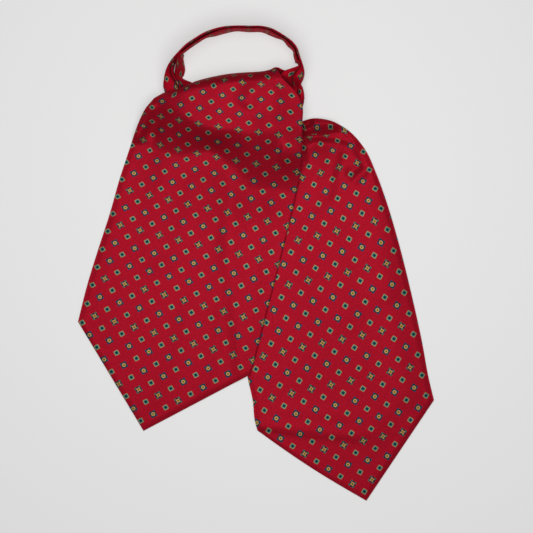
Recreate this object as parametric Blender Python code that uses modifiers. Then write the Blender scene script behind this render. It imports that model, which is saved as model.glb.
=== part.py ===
"""A day cravat of printed silk twill, tied in a half knot and laid out flat.

Two self-lined blades lie on the table, the front one over the back one. Between them and the
neckband the silk is gathered, and the pleated neckband stands on its edge in a loop.
Tables are in millimetres; every mesh is built in metres, with +Z up and the table at z = 0.
"""

import math
from collections import namedtuple

import bmesh
import bpy
import numpy as np
from mathutils import Vector

MM = 0.001

# Driving dimensions, in millimetres.
CLOTH = 1.5             # a blade: two plies of silk with the seam allowance between them
CLEARANCE = 0.3         # left between layers that touch
BAND_HEIGHT = 40.0      # width of the pleated neckband, standing on edge
BAND_INNER_TOP = 39.0   # height of its innermost pleat, a little lower
BAND_PLIES = 3.8        # thickness of the pleats pressed together in the neckband
RAMP_RUN = 17.0         # how far before the back blade's edge the front blade starts to climb
RAMP_REST = 1.5         # how far before that edge it is already at full height
ROOT_FALL = 30.0        # reach of the swell where the back blade is gathered into the knot
ROOT_SWELL = 6.5        # height of that swell
APRON_FOOT = 20.0       # y where the front blade begins to rise gently towards the knot
APRON_SHARE = 0.35      # share of its swell over the knot that it gains on that gentle rise
DRAPE_SLACK = 0.15      # more room than that, where the front blade drapes over the back one
CROSSING_GAP = 0.9      # vertical room between the knot's core and the blade draped over it

BLADE_COLUMNS = 20
FRONT_ROWS = 27
BACK_ROWS = 25
ROLL_ROWS = 5           # rows in each quarter of the roll at the top of the front blade
PACK_STEPS = 3          # lofted steps for each row of a neckband or gather table

Edge = namedtuple("Edge", "x y")
Puff = namedtuple("Puff", "x foot_y crown_y rise")
Roll = namedtuple("Roll", "crown_x crown_y edge_x edge_y edge_z turn")
Crease = namedtuple("Crease", "x0 y0 x1 y1 width lift")
Station = namedtuple("Station", "out_x out_y in_x in_y plies out_z in_z")
Profile = namedtuple("Profile", "across height")
Wall = namedtuple("Wall", "x y top fold flap")

# Front blade: the long edges run from the corners beside the point up to the knot.
FRONT_TIP = Edge(-96.8, -143.6)
FRONT_LEFT = (
    Edge(-153.2, -50.8),
    Edge(-145.5, -18.9),
    Edge(-136.0, 12.1),
    Edge(-125.9, 43.1),
    Edge(-117.1, 74.1),
    Edge(-110.3, 94.7),
    Edge(-104.9, 110.9),
    Edge(-101.0, 121.4),
    Edge(-95.6, 132.3),
    Edge(-87.4, 142.3),
)
FRONT_RIGHT = (
    Edge(-4.9, -95.1),
    Edge(-2.1, -86.1),
    Edge(5.6, -56.8),
    Edge(18.9, -5.1),
    Edge(33.6, 55.1),
    Edge(38.6, 80.9),
    Edge(39.8, 100.9),
    Edge(39.9, 122.7),
    Edge(40.3, 132.1),
    Edge(37.4, 142.9),
    Edge(31.6, 150.1),
    Edge(25.0, 156.7),
)

# The swell of the front blade over the knot, across the blade from left to right.
PUFF = (
    Puff(-114.0, 60.9, 100.9, 0.0),
    Puff(-101.0, 78.9, 124.9, 3.0),
    Puff(-94.0, 81.9, 130.9, 8.5),
    Puff(-86.5, 82.9, 134.9, 15.0),
    Puff(-72.0, 82.9, 137.4, 21.5),
    Puff(-60.0, 83.9, 141.9, 26.5),
    Puff(-45.0, 84.9, 143.4, 32.0),
    Puff(-22.0, 82.9, 145.9, 37.0),
    Puff(-5.0, 76.9, 146.4, 38.0),
    Puff(9.0, 69.9, 146.9, 36.0),
    Puff(25.0, 63.9, 144.9, 28.0),
    Puff(40.0, 57.9, 138.9, 16.0),
)

# The roll over which the front blade turns down behind: its crown line, its edge as seen from
# above, the height of that edge, and how far the cloth turns on below it, in degrees.
ROLL = (
    Roll(-87.4, 142.3, -79.6, 146.8, 17.3, 8.0),
    Roll(-72.0, 143.3, -69.0, 149.9, 18.2, 8.0),
    Roll(-60.5, 146.7, -58.5, 155.0, 18.2, 10.0),
    Roll(-52.5, 148.9, -51.0, 157.1, 17.0, 30.0),
    Roll(-45.0, 150.3, -43.0, 159.4, 15.4, 80.0),
    Roll(-22.4, 153.9, -22.4, 163.4, 15.0, 90.0),
    Roll(-8.0, 155.4, -8.0, 164.8, 15.2, 90.0),
    Roll(1.0, 155.9, 0.5, 164.3, 15.7, 75.0),
    Roll(10.0, 156.1, 7.5, 163.8, 17.0, 55.0),
    Roll(18.0, 157.5, 14.5, 163.1, 20.2, 20.0),
    Roll(25.0, 156.7, 20.0, 161.8, 23.4, 8.0),
)

# Back blade: the right edge curves in at the top, where the blade is gathered into the knot.
BACK_TIP = Edge(95.0, -203.7)
BACK_LEFT = (
    Edge(1.3, -143.3),
    Edge(-0.8, -136.1),
    Edge(-2.8, -117.9),
    Edge(-7.3, -97.3),
    Edge(-11.2, -65.4),
    Edge(-15.5, -22.3),
    Edge(-18.6, 29.3),
    Edge(-17.6, 66.9),
    Edge(-8.5, 86.9),
    Edge(5.2, 98.2),
)
BACK_RIGHT = (
    Edge(153.2, -117.1),
    Edge(149.0, -99.8),
    Edge(142.6, -65.4),
    Edge(134.6, -29.2),
    Edge(121.5, 22.9),
    Edge(111.5, 56.0),
    Edge(103.6, 77.5),
    Edge(93.5, 99.3),
    Edge(77.7, 116.3),
    Edge(62.0, 123.8),
    Edge(48.0, 125.1),
    Edge(36.2, 121.5),
)
BACK_POINT_BOW = 1.9                # how far the left edge of its point swells out
BACK_ROOT = Edge(34.0, 112.9)       # where its gathers meet, hidden under the front blade

# Soft ridges (lift above zero) and troughs of the blades.
FRONT_CREASES = (
    Crease(-104.0, 96.9, -92.0, 132.9, 4.5, 2.2),
    Crease(-78.0, 86.9, -88.0, 10.9, 14.0, 1.2),
    Crease(-24.0, 72.9, -30.0, -19.1, 12.0, 1.2),
)
BACK_CREASES = (
    Crease(42.0, 121.4, 76.0, 112.9, 5.0, 3.0),
    Crease(36.0, 108.9, 62.0, 109.4, 4.0, -1.8),
    Crease(54.0, 99.9, 84.0, 90.9, 7.0, 2.4),
    Crease(74.0, 84.9, 62.0, 40.9, 6.0, 2.0),
    Crease(44.0, 84.9, 52.0, 30.9, 8.0, 1.8),
    Crease(8.0, -142.1, 92.0, -149.1, 7.0, 1.6),
)

# Neckband and gathers: plan of the outer top edge and of the inner lower edge, the thickness
# of the pleats at the top, and the heights of the top at the outer and inner side.
NECKBAND = (
    Station(-66.1, 182.0, -62.8, 179.3, BAND_PLIES, BAND_HEIGHT, BAND_INNER_TOP),
    Station(-60.1, 187.9, -55.8, 184.1, BAND_PLIES, BAND_HEIGHT, BAND_INNER_TOP),
    Station(-52.5, 193.1, -47.8, 189.5, BAND_PLIES, BAND_HEIGHT, BAND_INNER_TOP),
    Station(-44.8, 197.7, -41.5, 193.2, BAND_PLIES, BAND_HEIGHT, BAND_INNER_TOP),
    Station(-37.2, 200.8, -35.3, 195.7, BAND_PLIES, BAND_HEIGHT, BAND_INNER_TOP),
    Station(-28.2, 203.0, -27.4, 197.9, BAND_PLIES, BAND_HEIGHT, BAND_INNER_TOP),
    Station(-17.1, 203.8, -17.1, 200.0, BAND_PLIES, BAND_HEIGHT, BAND_INNER_TOP),
    Station(-6.0, 203.7, -6.0, 199.3, BAND_PLIES, BAND_HEIGHT, BAND_INNER_TOP),
    Station(6.6, 203.3, 5.4, 199.0, BAND_PLIES, BAND_HEIGHT, BAND_INNER_TOP),
    Station(13.4, 201.6, 10.9, 196.8, BAND_PLIES, BAND_HEIGHT, BAND_INNER_TOP),
    Station(19.8, 198.3, 16.6, 194.3, BAND_PLIES, BAND_HEIGHT, BAND_INNER_TOP),
    Station(26.4, 194.0, 22.2, 191.5, BAND_PLIES, BAND_HEIGHT, BAND_INNER_TOP),
    Station(32.0, 189.6, 26.2, 187.1, BAND_PLIES, BAND_HEIGHT, BAND_INNER_TOP),
    Station(35.6, 184.5, 29.8, 182.8, BAND_PLIES, BAND_HEIGHT, 38.7),
    Station(37.6, 178.5, 32.1, 178.5, BAND_PLIES, 39.4, 38.1),
    Station(39.2, 173.5, 34.4, 173.1, BAND_PLIES, 37.8, 36.8),
)
GATHER_LEFT = (
    Station(-66.4, 181.6, -63.1, 178.9, BAND_PLIES, 39.8, 38.9),
    Station(-69.9, 177.7, -62.2, 175.3, 6.2, 38.7, 33.6),
    Station(-73.6, 172.5, -61.2, 170.5, 10.5, 36.2, 27.5),
    Station(-76.9, 166.9, -61.2, 165.5, 15.0, 31.7, 22.4),
    Station(-79.2, 160.3, -63.2, 160.6, 15.4, 25.9, 17.4),
    Station(-79.9, 153.3, -58.6, 156.2, 20.8, 18.2, 11.2),
    Station(-78.8, 146.8, -55.2, 151.6, 23.4, 13.3, 10.6),
    Station(-73.4, 139.9, -55.0, 144.6, 18.4, 17.3, 15.6),
)
GATHER_RIGHT = (
    Station(39.3, 173.1, 34.5, 172.7, BAND_PLIES, 37.6, 36.6),
    Station(41.0, 170.1, 34.6, 169.9, 5.2, 34.6, 34.6),
    Station(42.0, 166.5, 30.8, 167.1, 10.4, 29.8, 26.9),
    Station(41.2, 161.8, 25.6, 162.7, 15.2, 25.3, 21.0),
    Station(39.8, 158.5, 20.2, 159.6, 18.4, 22.7, 14.5),
    Station(38.9, 154.7, 18.0, 155.5, 19.6, 20.5, 13.0),
    Station(40.2, 149.5, 19.0, 149.3, 20.2, 18.2, 13.5),
    Station(41.4, 142.5, 23.4, 141.7, 17.6, 16.6, 15.5),
    Station(40.9, 135.7, 28.0, 134.5, 12.6, 15.4, 15.5),
    Station(37.0, 129.6, 27.5, 130.4, 8.2, 12.6, 14.0),
)
# Outline of the pressed pleats, from the foot of the outer side over the top and back.
PLEATS = (
    Profile(0.03, 0.00),
    Profile(0.00, 0.03),
    Profile(0.00, 0.48),
    Profile(0.06, 0.53),
    Profile(0.00, 0.58),
    Profile(0.00, 0.95),
    Profile(0.08, 0.99),
    Profile(0.20, 1.00),
    Profile(0.31, 0.98),
    Profile(0.35, 0.91),
    Profile(0.40, 0.97),
    Profile(0.52, 0.99),
    Profile(0.63, 0.97),
    Profile(0.67, 0.90),
    Profile(0.72, 0.96),
    Profile(0.88, 0.98),
    Profile(1.00, 0.94),
    Profile(1.00, 0.66),
    Profile(0.88, 0.61),
    Profile(1.00, 0.56),
    Profile(1.00, 0.30),
    Profile(0.90, 0.25),
    Profile(1.00, 0.20),
    Profile(1.00, 0.03),
    Profile(0.94, 0.00),
)

# The stretch that comes up behind the roll at its right end and folds over towards the knot:
# plan of its outer face, how high the whole fold would stand, how far it turns, in degrees, and
# how far it runs on past the fold.
FRONT_TURN = (
    Wall(-5.0, 165.6, 8.5, 5.0, 0.6),
    Wall(-0.5, 166.2, 17.5, 6.0, 0.6),
    Wall(4.6, 166.8, 24.0, 10.0, 0.6),
    Wall(9.4, 167.3, 26.6, 40.0, 1.0),
    Wall(14.0, 168.0, 26.8, 75.0, 1.9),
    Wall(18.4, 168.2, 26.2, 110.0, 1.6),
    Wall(22.4, 167.6, 24.0, 130.0, 2.0),
    Wall(25.4, 166.5, 22.1, 110.0, 1.5),
)
TURN_RADIUS = 3.0       # of the fold at its top
TURN_LEAN = 2.0         # how far its foot lies inside its outer face
TURN_COLUMNS = 14
TURN_WALL_ROWS = 5
TURN_FOLD_ROWS = 5
TURN_FLAP_ROWS = 1

# The core of the knot: the crossed necks of both blades, hidden under the front blade.
CROSSING_CENTRE = Edge(-24.0, 125.4)
CROSSING_HALF_LENGTH = 48.0
CROSSING_HALF_WIDTH = 22.0
CROSSING_TILT = math.radians(-1.0)
CROSSING_LAYERS = 3
CROSSING_LAYER_DEPTH = 0.035

SILK_RED = (0.35, 0.008, 0.016, 1.0)
SILK_DEEP_RED = (0.22, 0.006, 0.012, 1.0)


def eased(value):
    """Rises smoothly from 0 to 1 while value goes from 0 to 1."""
    held = min(max(value, 0.0), 1.0)
    return held * held * (3.0 - 2.0 * held)


def column(table, name):
    return np.array([getattr(row, name) for row in table])


def slopes_of(keys, values):
    return np.gradient(values, keys, axis=0)


def smooth_between(keys, values, key):
    """Cubic curve through a table's values, level beyond its ends."""
    key = min(max(key, keys[0]), keys[-1])
    index = min(max(int(np.searchsorted(keys, key)) - 1, 0), len(keys) - 2)
    span = keys[index + 1] - keys[index]
    part = (key - keys[index]) / span
    slopes = slopes_of(keys, values)
    bend = part * part * (3.0 - 2.0 * part)
    leave = part * (1.0 - part) ** 2 * span * slopes[index]
    arrive = part * part * (part - 1.0) * span * slopes[index + 1]
    return values[index] * (1.0 - bend) + values[index + 1] * bend + leave + arrive


def curve_through(points):
    """Returns a function from 0..1 to a point on a smooth curve, by distance along it."""
    points = np.array(points, dtype=float)
    steps = np.linalg.norm(np.diff(points[:, :2], axis=0), axis=1)
    along = np.concatenate(([0.0], np.cumsum(steps))) / steps.sum()
    return lambda part: smooth_between(along, points, part)


def crease_lift(creases, x, y):
    """Height that the soft ridges and troughs add at a place, fading at their ends."""
    lift = 0.0
    for crease in creases:
        run_x = crease.x1 - crease.x0
        run_y = crease.y1 - crease.y0
        length = math.hypot(run_x, run_y)
        along = ((x - crease.x0) * run_x + (y - crease.y0) * run_y) / length
        aside = ((y - crease.y0) * run_x - (x - crease.x0) * run_y) / length
        fade = eased(along / length * 3.0 + 1.0) * eased(4.0 - along / length * 3.0)
        lift += crease.lift * fade * math.exp(-((aside / crease.width) ** 2))
    return lift


def back_blade_edge_x(y):
    left = BACK_LEFT[:-2]
    return smooth_between(column(left, "y"), column(left, "x"), y)


def back_height(x, y):
    """Top of the back blade: flat, but for its creases and the swell at its gathered root."""
    distance = math.hypot(x - BACK_ROOT.x, y - BACK_ROOT.y)
    swell = ROOT_SWELL * math.exp(-((distance / ROOT_FALL) ** 2))
    return CLOTH + max(0.0, swell + crease_lift(BACK_CREASES, x, y))


def front_height(x, y):
    """Top of the front blade: flat on the table, up over the back blade, then over the knot."""
    past_edge = x - back_blade_edge_x(y) + RAMP_RUN
    under = back_height(x, y) + CLEARANCE + DRAPE_SLACK
    climb = eased(past_edge / (RAMP_RUN - RAMP_REST)) * under
    across = column(PUFF, "x")
    foot_y = smooth_between(across, column(PUFF, "foot_y"), x)
    crown_y = smooth_between(across, column(PUFF, "crown_y"), x)
    rise = smooth_between(across, column(PUFF, "rise"), x)
    apron = APRON_SHARE * eased((y - APRON_FOOT) / (crown_y - APRON_FOOT))
    bank = (1.0 - APRON_SHARE) * eased((y - foot_y) / (crown_y - foot_y))
    swell = rise * (apron + bank)
    return CLOTH + math.hypot(climb, swell) + max(0.0, crease_lift(FRONT_CREASES, x, y))


def blade_plan(left, tip, right, top, bow):
    """Returns a function from (across, along), both 0..1, to a place inside the outline."""
    left_edge = curve_through([(row.x, row.y) for row in left])
    right_edge = curve_through([(row.x, row.y) for row in right])
    top_edge = curve_through(top)
    corners = np.array([left_edge(0.0), right_edge(0.0), left_edge(1.0), right_edge(1.0)])
    tip = np.array(tip)
    point_left = tip - corners[0]
    outward = np.array([point_left[1], -point_left[0]]) / np.linalg.norm(point_left)

    def point_edge(across):
        if across < 0.5:
            swell = outward * bow * math.sin(across * 2.0 * math.pi)
            return corners[0] + point_left * across * 2.0 + swell
        return tip + (corners[1] - tip) * (across * 2.0 - 1.0)

    def place(across, along):
        sides = left_edge(along) * (1.0 - across) + right_edge(along) * across
        ends = point_edge(across) * (1.0 - along) + top_edge(across) * along
        low = corners[0] * (1.0 - across) + corners[1] * across
        high = corners[2] * (1.0 - across) + corners[3] * across
        return sides + ends - low * (1.0 - along) - high * along

    return place


def roll_at(across):
    """The row of the roll's table at a place across the blade."""
    table = np.array(ROLL)
    steps = np.hypot(np.diff(table[:, 2]), np.diff(table[:, 3]))
    along = np.concatenate(([0.0], np.cumsum(steps))) / steps.sum()
    return Roll(*smooth_between(along, table, across))


def sheet(name, columns, rows, place):
    """A grid whose every vertex is moved to place(across, row number)."""
    shape = bmesh.new()
    bmesh.ops.create_grid(shape, x_segments=columns, y_segments=rows, size=0.5)
    for vertex in shape.verts:
        across = vertex.co.x + 0.5
        row = (vertex.co.y + 0.5) * rows
        vertex.co = [value * MM for value in place(across, row)]
    return finished_object(name, shape)


def finished_object(name, shape):
    mesh = bpy.data.meshes.new(name)
    bmesh.ops.recalc_face_normals(shape, faces=shape.faces)
    shape.to_mesh(mesh)
    shape.free()
    mesh.shade_smooth()
    piece = bpy.data.objects.new(name, mesh)
    cravat.objects.link(piece)
    return piece


def give_wall(piece, thickness, outward):
    """Thickens a sheet behind its face, which is the side that looks outward."""
    facing = sum(face.normal.dot(Vector(outward)) * face.area for face in piece.data.polygons)
    if facing < 0.0:
        piece.data.flip_normals()
    wall = piece.modifiers.new("wall", "SOLIDIFY")
    wall.thickness = thickness * MM
    wall.offset = -1.0
    wall.use_even_offset = True


def give_silk(piece, colour, roughness):
    silk = bpy.data.materials.new(piece.name + "_silk")
    silk.use_nodes = True
    finish = silk.node_tree.nodes["Principled BSDF"]
    finish.inputs["Base Color"].default_value = colour
    finish.inputs["Roughness"].default_value = roughness
    finish.inputs["Metallic"].default_value = 0.0
    piece.data.materials.append(silk)


def make_front_blade():
    crowns = [(row.crown_x, row.crown_y) for row in ROLL]
    plan = blade_plan(FRONT_LEFT, FRONT_TIP, FRONT_RIGHT, crowns, 0.0)

    def place(across, row):
        if row <= FRONT_ROWS:
            x, y = plan(across, row / FRONT_ROWS)
            return x, y, front_height(x, y)
        roll = roll_at(across)
        crown_x, crown_y = plan(across, 1.0)
        crown_z = front_height(crown_x, crown_y)
        over = min((row - FRONT_ROWS) / ROLL_ROWS, 1.0) * math.pi / 2.0
        under = max((row - FRONT_ROWS) / ROLL_ROWS - 1.0, 0.0) * math.radians(roll.turn)
        reach = math.sin(over) - (1.0 - math.cos(under))
        x = crown_x + (roll.edge_x - crown_x) * reach
        y = crown_y + (roll.edge_y - crown_y) * reach
        z = roll.edge_z + (crown_z - roll.edge_z) * math.cos(over)
        return x, y, z - roll.edge_z * math.sin(under)

    blade = sheet("front_blade", BLADE_COLUMNS, FRONT_ROWS + 2 * ROLL_ROWS, place)
    give_wall(blade, CLOTH, (0.0, 0.0, 1.0))
    return blade


def make_back_blade():
    root = [(BACK_LEFT[-1].x, BACK_LEFT[-1].y), (BACK_RIGHT[-1].x, BACK_RIGHT[-1].y)]
    plan = blade_plan(BACK_LEFT, BACK_TIP, BACK_RIGHT, root, BACK_POINT_BOW)

    def place(across, row):
        x, y = plan(across, row / BACK_ROWS)
        return x, y, back_height(x, y)

    blade = sheet("back_blade", BLADE_COLUMNS, BACK_ROWS, place)
    give_wall(blade, CLOTH, (0.0, 0.0, 1.0))
    return blade


def make_pleats(name, table):
    """Lofts the pressed pleats along a table's stations and caps both ends."""
    table = np.array(table)
    station_at = curve_through(table)
    rows = (len(table) - 1) * PACK_STEPS

    def place(across, row):
        station = Station(*station_at(row / rows))
        profile = PLEATS[int(round(across * len(PLEATS))) % len(PLEATS)]
        inward = np.array([station.in_x - station.out_x, station.in_y - station.out_y])
        inward = inward / np.linalg.norm(inward)
        top = np.array([station.out_x, station.out_y]) + inward * station.plies * profile.across
        foot_in = np.array([station.in_x, station.in_y])
        foot = foot_in - inward * station.plies * (1.0 - profile.across)
        x, y = foot + (top - foot) * profile.height
        top_z = station.out_z + (station.in_z - station.out_z) * profile.across
        return x, y, top_z * profile.height

    piece = sheet(name, len(PLEATS), rows, place)
    shape = bmesh.new()
    shape.from_mesh(piece.data)
    bmesh.ops.remove_doubles(shape, verts=shape.verts, dist=0.01 * MM)
    bmesh.ops.holes_fill(shape, edges=shape.edges, sides=0)
    bmesh.ops.recalc_face_normals(shape, faces=shape.faces)
    shape.to_mesh(piece.data)
    shape.free()
    piece.data.shade_smooth()
    return piece


def make_front_turn():
    wall_at = curve_through(FRONT_TURN)

    def place(across, row):
        wall = Wall(*wall_at(across))
        height = min(row / TURN_WALL_ROWS, 1.0)
        folded = min(max(row - TURN_WALL_ROWS, 0.0) / TURN_FOLD_ROWS, 1.0)
        turned = folded * math.radians(wall.fold)
        run_on = max(row - TURN_WALL_ROWS - TURN_FOLD_ROWS, 0.0) / TURN_FLAP_ROWS * wall.flap
        inward = TURN_LEAN * (1.0 - eased(height)) + TURN_RADIUS * (1.0 - math.cos(turned))
        z = (wall.top - TURN_RADIUS) * height + TURN_RADIUS * math.sin(turned)
        return wall.x, wall.y - inward - run_on * math.sin(turned), z + run_on * math.cos(turned)

    rows = TURN_WALL_ROWS + TURN_FOLD_ROWS + TURN_FLAP_ROWS
    turn = sheet("front_turn", TURN_COLUMNS, rows, place)
    give_wall(turn, CLOTH, (0.0, 1.0, 0.0))
    return turn


def make_crossing():
    """A low dome under the front blade, its sides stepped by the layers folded into it."""
    shape = bmesh.new()
    bmesh.ops.create_uvsphere(shape, u_segments=28, v_segments=18, radius=1.0)
    turn_cos = math.cos(CROSSING_TILT)
    turn_sin = math.sin(CROSSING_TILT)
    for vertex in shape.verts:
        side = max(vertex.co.z, 0.0)
        layers = 1.0 - CROSSING_LAYER_DEPTH * (1.0 - math.cos(CROSSING_LAYERS * 2.0 * math.pi * side))
        long_way = vertex.co.x * layers * CROSSING_HALF_LENGTH
        short_way = vertex.co.y * layers * CROSSING_HALF_WIDTH
        x = CROSSING_CENTRE.x + long_way * turn_cos - short_way * turn_sin
        y = CROSSING_CENTRE.y + long_way * turn_sin + short_way * turn_cos
        spread = math.hypot(vertex.co.x, vertex.co.y)
        ceiling = front_height(x, y) - CLOTH - CROSSING_GAP
        z = ceiling * math.sqrt(max(0.0, 1.0 - spread ** 4)) if side > 0.0 else 0.0
        vertex.co = (x * MM, y * MM, z * MM)
    return finished_object("crossing", shape)


for old in list(bpy.data.objects):
    bpy.data.objects.remove(old, do_unlink=True)

cravat = bpy.data.collections.new("silk_cravat")
bpy.context.scene.collection.children.link(cravat)

give_silk(make_back_blade(), SILK_RED, 0.5)
give_silk(make_front_blade(), SILK_RED, 0.5)
give_silk(make_front_turn(), SILK_DEEP_RED, 0.55)
give_silk(make_crossing(), SILK_DEEP_RED, 0.6)
give_silk(make_pleats("neckband", NECKBAND), SILK_DEEP_RED, 0.55)
give_silk(make_pleats("gather_left", GATHER_LEFT), SILK_RED, 0.55)
give_silk(make_pleats("gather_right", GATHER_RIGHT), SILK_RED, 0.55)
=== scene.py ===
import math

import bmesh
import bpy
import numpy as np
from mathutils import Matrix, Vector


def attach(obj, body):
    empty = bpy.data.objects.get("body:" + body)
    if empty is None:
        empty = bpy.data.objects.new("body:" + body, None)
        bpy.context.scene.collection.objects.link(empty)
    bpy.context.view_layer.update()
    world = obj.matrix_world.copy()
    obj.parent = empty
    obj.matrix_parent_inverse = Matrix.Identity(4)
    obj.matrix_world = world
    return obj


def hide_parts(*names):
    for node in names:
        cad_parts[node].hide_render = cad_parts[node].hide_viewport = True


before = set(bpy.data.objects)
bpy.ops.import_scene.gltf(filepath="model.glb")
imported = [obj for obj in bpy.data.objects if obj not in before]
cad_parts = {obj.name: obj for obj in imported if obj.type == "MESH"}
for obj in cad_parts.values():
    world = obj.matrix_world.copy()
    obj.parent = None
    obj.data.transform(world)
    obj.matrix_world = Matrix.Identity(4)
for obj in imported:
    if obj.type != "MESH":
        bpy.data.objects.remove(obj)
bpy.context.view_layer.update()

MM = 0.001


# Back blade: the lower of the two broad, pointed ends. It is silk twill folded double and pressed,
# so its long edges are soft folds, and it is gathered by hand where it goes into the knot.

REPEAT = 17.5               # the print repeats every so many millimetres of cloth
TWILL = 0.42                # from one diagonal of the weave to the next
BACK_PLY = 1.4
RIM_RISE = 0.9              # a blade's middle over its pressed edges
RIM_PART = 28.0             # the rise takes one part in so many of the blade's width
POINT_RIM_ROWS = 2.2        # and so many rows beside the point
ROOT_SWELL = 6.5            # the swell where the gathers go into the knot
ROOT_REACH = 30.0
POINT_BOW = 1.9             # how far the short edge beside the point bows out
EDGE_ROUND = 0.45           # the part of a wall that its edges are rounded by
EDGE_TURN = 50.0            # only edges sharper than so many degrees are rounded
BLADE_COLUMNS = 66
COLUMN_CROWDING = 0.1       # the columns stand closer together towards both edges
BACK_ROWS = 130
BACK_TIP = (95.0, -203.7)
BACK_LEFT = [
    (1.3, -143.3), (-0.8, -136.1), (-2.8, -117.9), (-7.3, -97.3), (-11.2, -65.4),
    (-15.5, -22.3), (-18.6, 29.3), (-17.6, 66.9), (-8.5, 86.9), (5.2, 98.2),
]
BACK_RIGHT = [
    (153.2, -117.1), (149.0, -99.8), (142.6, -65.4), (134.6, -29.2), (121.5, 22.9), (111.5, 56.0),
    (103.6, 77.5), (93.5, 99.3), (77.7, 116.3), (62.0, 123.8), (48.0, 125.1), (36.2, 121.5),
]
BACK_ROOT = (34.0, 112.9)   # where its gathers meet, hidden under the front blade
# Soft ridges and troughs: from, to, half width, height (below zero for a trough).
BACK_FOLDS = [
    (41.0, 114.2, 48.0, 117.4, 3.2, 4.5),
    (51.0, 120.6, 67.0, 121.6, 5.8, 8.0),
    (46.0, 109.8, 70.0, 109.8, 3.4, -5.0),
    (40.0, 100.0, 41.0, 85.0, 3.6, -2.5),
    (40.5, 117.8, 47.0, 121.4, 2.0, -4.0),
    (67.0, 112.6, 80.0, 105.0, 3.2, -2.2),
    (38.0, 106.5, 46.0, 107.0, 3.2, -3.4),
    (46.0, 106.0, 80.0, 100.0, 9.0, 2.2),
    (80.7, 76.5, 89.0, 84.0, 3.4, 2.2),
    (84.2, 73.0, 93.0, 80.6, 3.6, -2.8),
    (78.0, 84.0, 86.0, 92.0, 6.0, 1.2),
    (78.0, 92.0, 70.0, 74.0, 5.0, -0.8),
    (70.0, 92.0, 62.0, 60.0, 5.0, 0.9),
    (58.0, 88.0, 50.0, 50.0, 7.0, 0.7),
    (98.0, 70.0, 112.0, -20.0, 16.0, 2.2),
    (70.0, 30.0, 78.0, -40.0, 14.0, 0.6),
    (28.0, -10.0, 40.0, -90.0, 16.0, 0.5),
    (118.0, -50.0, 128.0, -110.0, 14.0, 1.2),
    (6.0, -146.0, 30.0, -152.5, 3.2, -1.3),
    (30.0, -152.5, 68.0, -157.6, 3.2, -1.5),
    (68.0, -157.6, 94.0, -154.5, 3.2, -1.3),
    (8.0, -139.0, 92.0, -147.5, 6.0, 1.4),
    (30.0, -128.0, 104.0, -134.0, 8.0, 0.8),
]
FOLD_FADE = 3.0             # a ridge fades out over a third of its length past each end
# Place on the print of the flat cloth, in repeats: at x and y 0, then what a millimetre of x and
# one of y add.
BACK_PRINT = [(-4.306, 0.05654, 0.0126), (0.338, -0.01247, 0.05405)]
# How much cloth the gathers take up, in repeats along and across the print: a row for each y, and
# in it a pair for each of these x.
BACK_TAKEN_X = [45.0, 57.5, 70.0, 95.0]
BACK_TAKEN = [
    (-195.0, [(0.0, -0.1), (0.0, -0.1), (0.0, -0.1), (0.0, -0.1)]),
    (-165.0, [(0.0, 0.0), (0.0, 0.0), (0.0, 0.0), (0.0, 0.0)]),
    (20.0, [(0.0, 0.0), (0.0, 0.0), (0.0, 0.0), (0.0, 0.0)]),
    (50.0, [(0.09, 0.06), (0.1, 0.02), (0.1, -0.02), (0.13, -0.08)]),
    (70.0, [(0.12, 0.11), (0.15, 0.06), (0.17, 0.01), (0.21, -0.05)]),
    (90.0, [(0.2, 0.24), (0.23, 0.18), (0.25, 0.11), (0.33, 0.04)]),
    (106.5, [(0.29, 0.29), (0.41, 0.3), (0.52, 0.31), (0.43, 0.13)]),
    (109.5, [(0.31, 0.31), (0.44, 0.33), (0.57, 0.35), (0.45, 0.14)]),
    (113.5, [(0.87, 1.3), (0.62, 0.84), (0.52, 0.48), (0.47, 0.2)]),
    (117.5, [(1.02, 1.25), (0.77, 0.78), (0.62, 0.42), (0.5, 0.26)]),
    (125.0, [(1.27, 1.1), (1.0, 0.64), (0.8, 0.33), (0.65, 0.3)]),
]


def eased(value):
    """A soft step: 0 at 0 and below, 1 at 1 and above."""
    held = min(max(value, 0.0), 1.0)
    return held * held * (3.0 - 2.0 * held)


def smooth_between(keys, values, key):
    """Cubic curve through a table's values, level beyond its ends."""
    key = min(max(key, keys[0]), keys[-1])
    index = min(max(int(np.searchsorted(keys, key)) - 1, 0), len(keys) - 2)
    span = keys[index + 1] - keys[index]
    part = (key - keys[index]) / span
    slopes = np.gradient(values, keys, axis=0)
    bend = part * part * (3.0 - 2.0 * part)
    leave = part * (1.0 - part) ** 2 * span * slopes[index]
    arrive = part * part * (part - 1.0) * span * slopes[index + 1]
    return values[index] * (1.0 - bend) + values[index + 1] * bend + leave + arrive


def curve_through(points):
    """Gives the point at a share, 0 to 1, of the distance along a smooth curve."""
    points = np.array(points, dtype=float)
    steps = np.linalg.norm(np.diff(points[:, :2], axis=0), axis=1)
    along = np.concatenate(([0.0], np.cumsum(steps))) / steps.sum()
    return lambda part: smooth_between(along, points, part)


def folds_at(folds, x, y):
    """How far a table's ridges and troughs lift the cloth at a place."""
    lift = 0.0
    for x0, y0, x1, y1, width, height in folds:
        run_x, run_y = x1 - x0, y1 - y0
        length = math.hypot(run_x, run_y)
        along = ((x - x0) * run_x + (y - y0) * run_y) / length / length
        aside = ((y - y0) * run_x - (x - x0) * run_y) / length
        fade = eased(along * FOLD_FADE + 1.0) * eased(FOLD_FADE + 1.0 - along * FOLD_FADE)
        lift += height * fade * math.exp(-((aside / width) ** 2))
    return lift


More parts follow.
